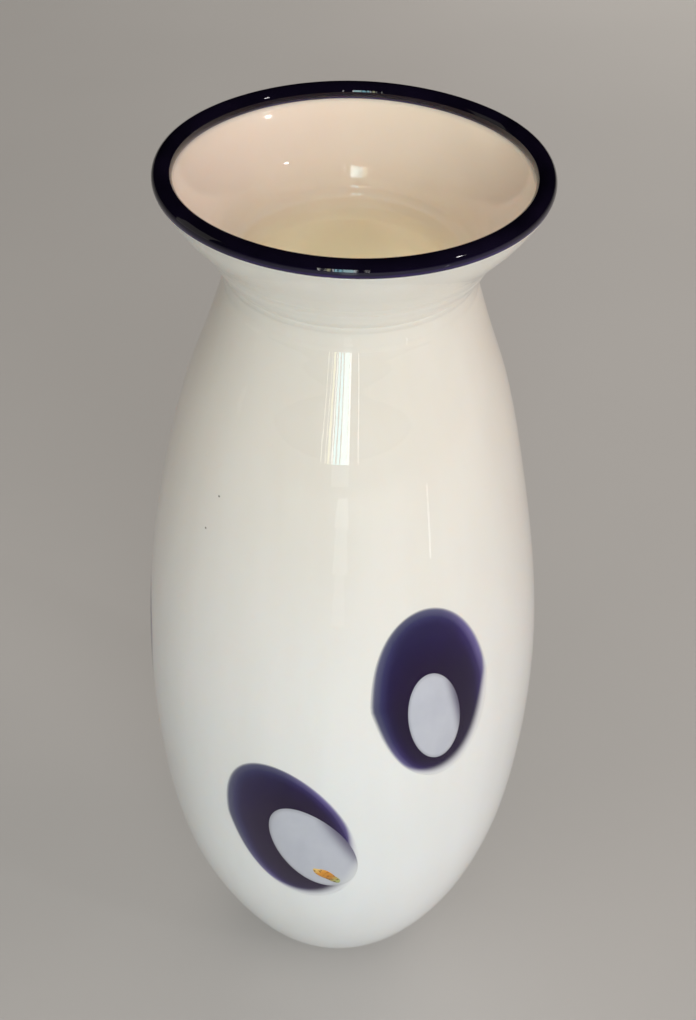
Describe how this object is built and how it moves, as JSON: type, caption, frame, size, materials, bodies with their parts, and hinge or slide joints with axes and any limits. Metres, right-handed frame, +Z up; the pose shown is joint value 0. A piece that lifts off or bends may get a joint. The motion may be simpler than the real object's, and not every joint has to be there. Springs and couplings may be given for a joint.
{
  "type": "vase",
  "caption": "Tall hand blown glass vase with a rounded belly, pinched neck, flared mouth, dark rolled lip and violet eye spots under clear glass.",
  "frame": {"origin": "middle of the foot, on the table", "axes": "+Z up along the vase's axis of turning, -Y towards the front, where two of the eye spots show"},
  "size_m": [0.118, 0.118, 0.3],
  "materials": {
    "white_opal": "opaque milk white glass, glossy",
    "clear_crystal": "clear, fire polished",
    "dark_violet_wrap": "near black violet blue glass, glossy",
    "violet_chip": "deep violet glass, soft at the edge",
    "lavender_eye": "pale lavender opal glass",
    "amber_glass": "amber glass"
  },
  "bodies": {
    "root": {"opal_body": "white_opal", "clear_casing": "clear_crystal", "lip_wrap": "dark_violet_wrap", "front_right_spot": "violet_chip", "front_left_spot": "violet_chip", "left_spot": "violet_chip", "back_spot": "violet_chip", "right_spot": "violet_chip", "front_right_eye": "lavender_eye", "front_left_eye": "lavender_eye", "left_eye": "lavender_eye", "back_eye": "lavender_eye", "right_eye": "lavender_eye", "amber_fleck": "amber_glass"}
  },
  "joints": []
}
